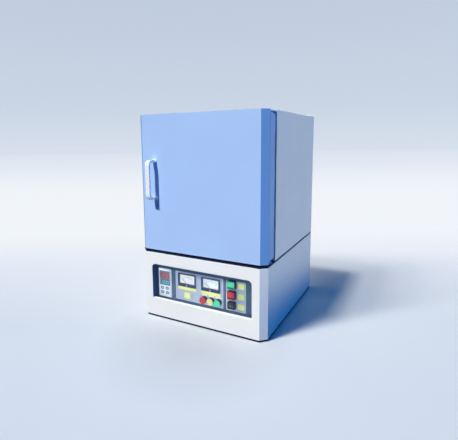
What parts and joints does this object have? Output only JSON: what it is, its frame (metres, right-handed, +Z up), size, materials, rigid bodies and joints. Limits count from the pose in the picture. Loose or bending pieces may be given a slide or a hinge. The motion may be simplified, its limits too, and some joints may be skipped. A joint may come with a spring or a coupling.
{
  "type": "inert atmosphere furnace",
  "caption": "Bench-top chamber furnace with a thick side-hinged door, a recessed control panel in its base and gas fittings at the rear.",
  "frame": {"origin": "centre of the overall footprint, on the bench that the furnace stands on", "axes": "+Z up, -Y towards the user in front of the door, +X to the user's right, where the door is hinged"},
  "size_m": [0.44, 0.572, 0.664],
  "materials": {
    "door_paint": "satin",
    "case_paint": "satin",
    "front_paint": "satin",
    "slate_paint": "satin",
    "plate_paint": "satin",
    "black_rubber": "matte",
    "fibre_board": "matte",
    "fibre_rope": "matte",
    "hearth_ceramic": "matte",
    "element": "satin",
    "steel": "satin",
    "chrome": "polished",
    "brass": "satin",
    "black_plastic": "satin",
    "white_plastic": "satin",
    "red_plastic": "gloss",
    "amber_plastic": "gloss",
    "green_plastic": "gloss",
    "core_steel": "satin",
    "aluminium": "satin"
  },
  "bodies": {
    "furnace_body": {"plinth": "black_rubber", "base_floor": "case_paint", "base_front": "front_paint", "base_side_left": "case_paint", "base_side_right": "case_paint", "base_rear": "case_paint", "power_inlet": "black_plastic", "transformer": "core_steel", "power_controller": "aluminium", "fan_frame": "black_plastic", "seam_strip": "black_rubber", "deck_plate": "case_paint", "case_cover": "case_paint", "case_rear": "case_paint", "mouth_frame": "steel", "insulation_floor": "fibre_board", "insulation_left": "fibre_board", "insulation_right": "fibre_board", "insulation_rear": "fibre_board", "insulation_roof": "fibre_board", "hearth_plate": "hearth_ceramic", "heating_element_1": "element", "heating_element_2": "element", "heating_element_3": "element", "heating_element_4": "element", "thermocouple": "steel", "gas_inlet": "brass", "gas_outlet": "brass", "mouth_seal": "fibre_rope", "door_catch": "black_plastic", "hinge_pin": "steel", "hinge_arm": "steel", "control_panel": "slate_paint", "meter_plate": "plate_paint", "button_plate": "plate_paint", "controller_case": "white_plastic", "ammeter_case": "black_plastic", "voltmeter_case": "black_plastic", "lamp_red": "red_plastic", "lamp_amber": "amber_plastic", "lamp_green": "green_plastic", "start_bezel": "black_plastic", "stop_bezel": "black_plastic", "key_switch": "black_plastic"},
    "door": {"door_skin": "door_paint", "door_pan": "door_paint", "door_plug": "fibre_board", "door_handle": "chrome"},
    "fan": {"fan_rotor": "black_plastic"},
    "inlet_knob": {"inlet_knob": "black_plastic"},
    "outlet_lever": {"outlet_lever": "red_plastic"},
    "start_button": {"start_button": "green_plastic"},
    "stop_button": {"stop_button": "red_plastic"},
    "key_barrel": {"key_barrel": "steel"},
    "controller_key_1": {"controller_key_1": "white_plastic"},
    "controller_key_2": {"controller_key_2": "white_plastic"},
    "controller_key_3": {"controller_key_3": "white_plastic"},
    "controller_key_4": {"controller_key_4": "white_plastic"},
    "ammeter_needle": {"ammeter_needle": "black_plastic"},
    "voltmeter_needle": {"voltmeter_needle": "black_plastic"}
  },
  "joints": [
    {"name": "door_hinge", "type": "hinge", "parent": "furnace_body", "child": "door", "pos_m": [0.208, -0.198, 0.44], "axis": [0, 0, 1], "range_deg": [0, 115]},
    {"name": "fan_spin", "type": "hinge", "parent": "furnace_body", "child": "fan", "pos_m": [0.118, 0.226, 0.118], "axis": [0, 1, 0], "continuous": true},
    {"name": "inlet_turn", "type": "hinge", "parent": "furnace_body", "child": "inlet_knob", "pos_m": [-0.05, 0.2543, 0.398], "axis": [0, 0, 1], "range_deg": [0, 270]},
    {"name": "outlet_turn", "type": "hinge", "parent": "furnace_body", "child": "outlet_lever", "pos_m": [0.05, 0.2543, 0.516], "axis": [0, 0, 1], "range_deg": [0, 90]},
    {"name": "start_press", "type": "slide", "parent": "furnace_body", "child": "start_button", "axis": [0, 1, 0], "range_m": [0, 0.003], "stiffness_N_per_m": 300},
    {"name": "stop_press", "type": "slide", "parent": "furnace_body", "child": "stop_button", "axis": [0, 1, 0], "range_m": [0, 0.003], "stiffness_N_per_m": 300},
    {"name": "key_turn", "type": "hinge", "parent": "furnace_body", "child": "key_barrel", "pos_m": [0.105, -0.235, 0.0875], "axis": [0, 1, 0], "range_deg": [0, 90]},
    {"name": "key_1_press", "type": "slide", "parent": "furnace_body", "child": "controller_key_1", "axis": [0, 1, 0], "range_m": [0, 0.0008], "stiffness_N_per_m": 300},
    {"name": "key_2_press", "type": "slide", "parent": "furnace_body", "child": "controller_key_2", "axis": [0, 1, 0], "range_m": [0, 0.0008], "stiffness_N_per_m": 300},
    {"name": "key_3_press", "type": "slide", "parent": "furnace_body", "child": "controller_key_3", "axis": [0, 1, 0], "range_m": [0, 0.0008], "stiffness_N_per_m": 300},
    {"name": "key_4_press", "type": "slide", "parent": "furnace_body", "child": "controller_key_4", "axis": [0, 1, 0], "range_m": [0, 0.0008], "stiffness_N_per_m": 300},
    {"name": "ammeter_swing", "type": "hinge", "parent": "furnace_body", "child": "ammeter_needle", "pos_m": [-0.056, -0.2285, 0.121], "axis": [0, 1, 0], "range_deg": [0, 90], "stiffness_Nm_per_rad": 0.001},
    {"name": "voltmeter_swing", "type": "hinge", "parent": "furnace_body", "child": "voltmeter_needle", "pos_m": [0.03, -0.2285, 0.121], "axis": [0, 1, 0], "range_deg": [0, 90], "stiffness_Nm_per_rad": 0.001}
  ]
}
